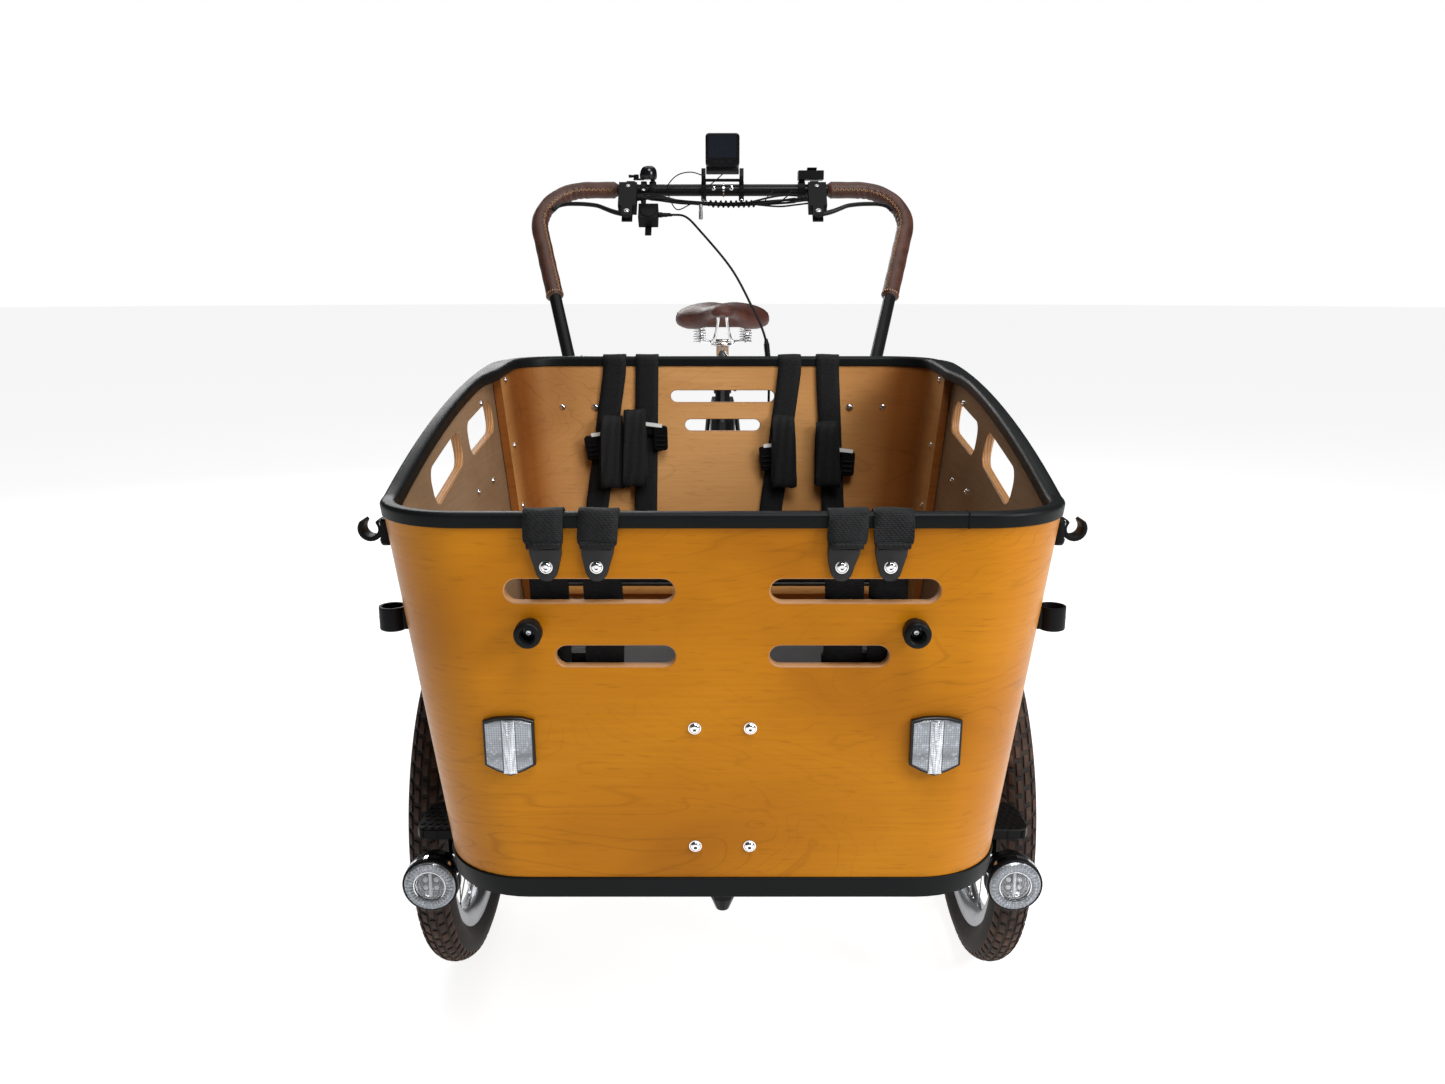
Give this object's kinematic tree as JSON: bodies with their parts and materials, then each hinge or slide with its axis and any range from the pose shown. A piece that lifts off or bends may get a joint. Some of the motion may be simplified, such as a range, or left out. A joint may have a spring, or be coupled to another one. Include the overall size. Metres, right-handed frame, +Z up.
{
  "type": "cargo bicycle",
  "caption": "Three-wheeled electric cargo bicycle with a curved plywood box between two front wheels and a leather-gripped push bar.",
  "frame": {"origin": "middle of the ground contact, centred in length and width", "axes": "+X to the rider's left, +Y to the rear, +Z up"},
  "size_m": [0.86, 2.263, 1.2555],
  "materials": {
    "varnished_ply": "satin varnish",
    "inner_ply": "satin varnish",
    "black_frame": "satin powder coat",
    "black_trim": "matte",
    "tyre_rubber": "matte",
    "alloy": "satin",
    "chrome": "polished",
    "leather": "satin",
    "webbing": "woven",
    "clear_lens": "clear",
    "gloss_black": "gloss"
  },
  "bodies": {
    "rider_frame": {"main_frame": "black_frame", "rear_axle": "chrome", "rear_fender": "black_frame", "battery": "black_trim", "chain": "alloy", "rear_derailleur": "black_frame"},
    "carriage": {"box_front_panel": "varnished_ply", "box_rear_panel": "inner_ply", "box_floor": "inner_ply", "rim_trim": "black_trim", "base_band": "black_trim", "bench_front": "inner_ply", "bench_rear": "inner_ply", "harness_front_left": "webbing", "harness_front_right": "webbing", "harness_rear_left": "webbing", "harness_rear_right": "webbing", "front_reflector_left": "clear_lens", "front_reflector_right": "clear_lens", "bumper_left": "black_trim", "bumper_right": "black_trim", "tent_clip_left": "black_trim", "tent_clip_right": "black_trim", "tent_pole_cup_left": "black_trim", "tent_pole_cup_right": "black_trim", "headlight_left": "clear_lens", "headlight_right": "clear_lens", "step_left": "black_frame", "step_right": "black_frame", "chassis": "black_frame", "push_bar": "black_frame", "grip_left": "leather", "grip_right": "leather", "brake_housing_left": "black_frame", "brake_housing_right": "black_frame", "bell": "black_frame", "gear_shifter": "black_frame", "control_pad": "black_trim", "display_bracket": "black_frame", "gear_cable": "black_trim", "control_loom": "black_trim"},
    "front_wheel_left": {"front_wheel_left": "alloy", "front_tyre_left": "tyre_rubber"},
    "front_wheel_right": {"front_wheel_right": "alloy", "front_tyre_right": "tyre_rubber"},
    "rear_wheel": {"rear_wheel": "alloy", "rear_tyre": "tyre_rubber"},
    "rear_sprocket": {"rear_sprocket": "alloy"},
    "crank": {"crankset": "alloy"},
    "pedal_left": {"pedal_left": "black_trim"},
    "pedal_right": {"pedal_right": "black_trim"},
    "saddle": {"seatpost": "chrome", "saddle_springs": "chrome", "saddle": "leather"},
    "brake_lever_left": {"brake_lever_left": "black_frame"},
    "brake_lever_right": {"brake_lever_right": "black_frame"},
    "bell_striker": {"bell_striker": "black_frame"},
    "shift_paddle": {"shift_paddle": "black_frame"},
    "assist_rocker": {"assist_rocker": "gloss_black"},
    "display": {"display": "gloss_black"}
  },
  "joints": [
    {"name": "steering", "type": "hinge", "parent": "rider_frame", "child": "carriage", "pos_m": [0, -0.776, 0.2], "axis": [0, 0, 1], "range_deg": [-30, 30]},
    {"name": "front_wheel_left_spin", "type": "hinge", "parent": "carriage", "child": "front_wheel_left", "pos_m": [0.38, -0.626, 0.255], "axis": [1, 0, 0], "continuous": true},
    {"name": "front_wheel_right_spin", "type": "hinge", "parent": "carriage", "child": "front_wheel_right", "pos_m": [-0.38, -0.626, 0.255], "axis": [1, 0, 0], "continuous": true},
    {"name": "rear_wheel_spin", "type": "hinge", "parent": "rider_frame", "child": "rear_wheel", "pos_m": [0, 0.774, 0.335], "axis": [1, 0, 0], "continuous": true},
    {"name": "crank_spin", "type": "hinge", "parent": "rider_frame", "child": "crank", "pos_m": [0, 0.294, 0.29], "axis": [1, 0, 0], "continuous": true},
    {"name": "rear_sprocket_spin", "type": "hinge", "parent": "rider_frame", "child": "rear_sprocket", "pos_m": [0, 0.774, 0.335], "axis": [1, 0, 0], "continuous": true},
    {"name": "pedal_left_spin", "type": "hinge", "parent": "crank", "child": "pedal_left", "pos_m": [0.066, 0.464, 0.29], "axis": [1, 0, 0], "continuous": true},
    {"name": "pedal_right_spin", "type": "hinge", "parent": "crank", "child": "pedal_right", "pos_m": [-0.066, 0.124, 0.29], "axis": [1, 0, 0], "continuous": true},
    {"name": "saddle_height", "type": "slide", "parent": "rider_frame", "child": "saddle", "axis": [0, 0.4063, 0.9137], "range_m": [-0.055, 0.08]},
    {"name": "brake_lever_left_pull", "type": "hinge", "parent": "carriage", "child": "brake_lever_left", "pos_m": [0.178, -0.01124, 1.10706], "axis": [0, -0.7522, 0.6589], "range_deg": [0, 16], "stiffness_Nm_per_rad": 0.8, "springref_deg": -17.19},
    {"name": "brake_lever_right_pull", "type": "hinge", "parent": "carriage", "child": "brake_lever_right", "pos_m": [-0.178, -0.01124, 1.10706], "axis": [0, 0.7522, -0.6589], "range_deg": [0, 16], "stiffness_Nm_per_rad": 0.8, "springref_deg": -17.19},
    {"name": "bell_striker_flick", "type": "hinge", "parent": "carriage", "child": "bell_striker", "pos_m": [-0.1647, 0.062, 1.177], "axis": [0, 0, 1], "range_deg": [0, 25], "stiffness_Nm_per_rad": 0.05, "springref_deg": -17.19},
    {"name": "shift_paddle_push", "type": "hinge", "parent": "carriage", "child": "shift_paddle", "pos_m": [-0.14, 0.0246, 1.09561], "axis": [0, -0.7522, 0.6589], "range_deg": [0, 30], "stiffness_Nm_per_rad": 0.1, "springref_deg": -17.19},
    {"name": "assist_rocker_press", "type": "hinge", "parent": "carriage", "child": "assist_rocker", "pos_m": [0.17, 0.06, 1.1912], "axis": [1, 0, 0], "range_deg": [-5, 5], "stiffness_Nm_per_rad": 0.05},
    {"name": "display_tilt", "type": "hinge", "parent": "carriage", "child": "display", "pos_m": [0, 0.042, 1.186], "axis": [1, 0, 0], "range_deg": [-25, 25]}
  ],
  "couplings": [
    {"joint": "rear_sprocket_spin", "follows": "crank_spin", "ratio": 2.4247}
  ]
}
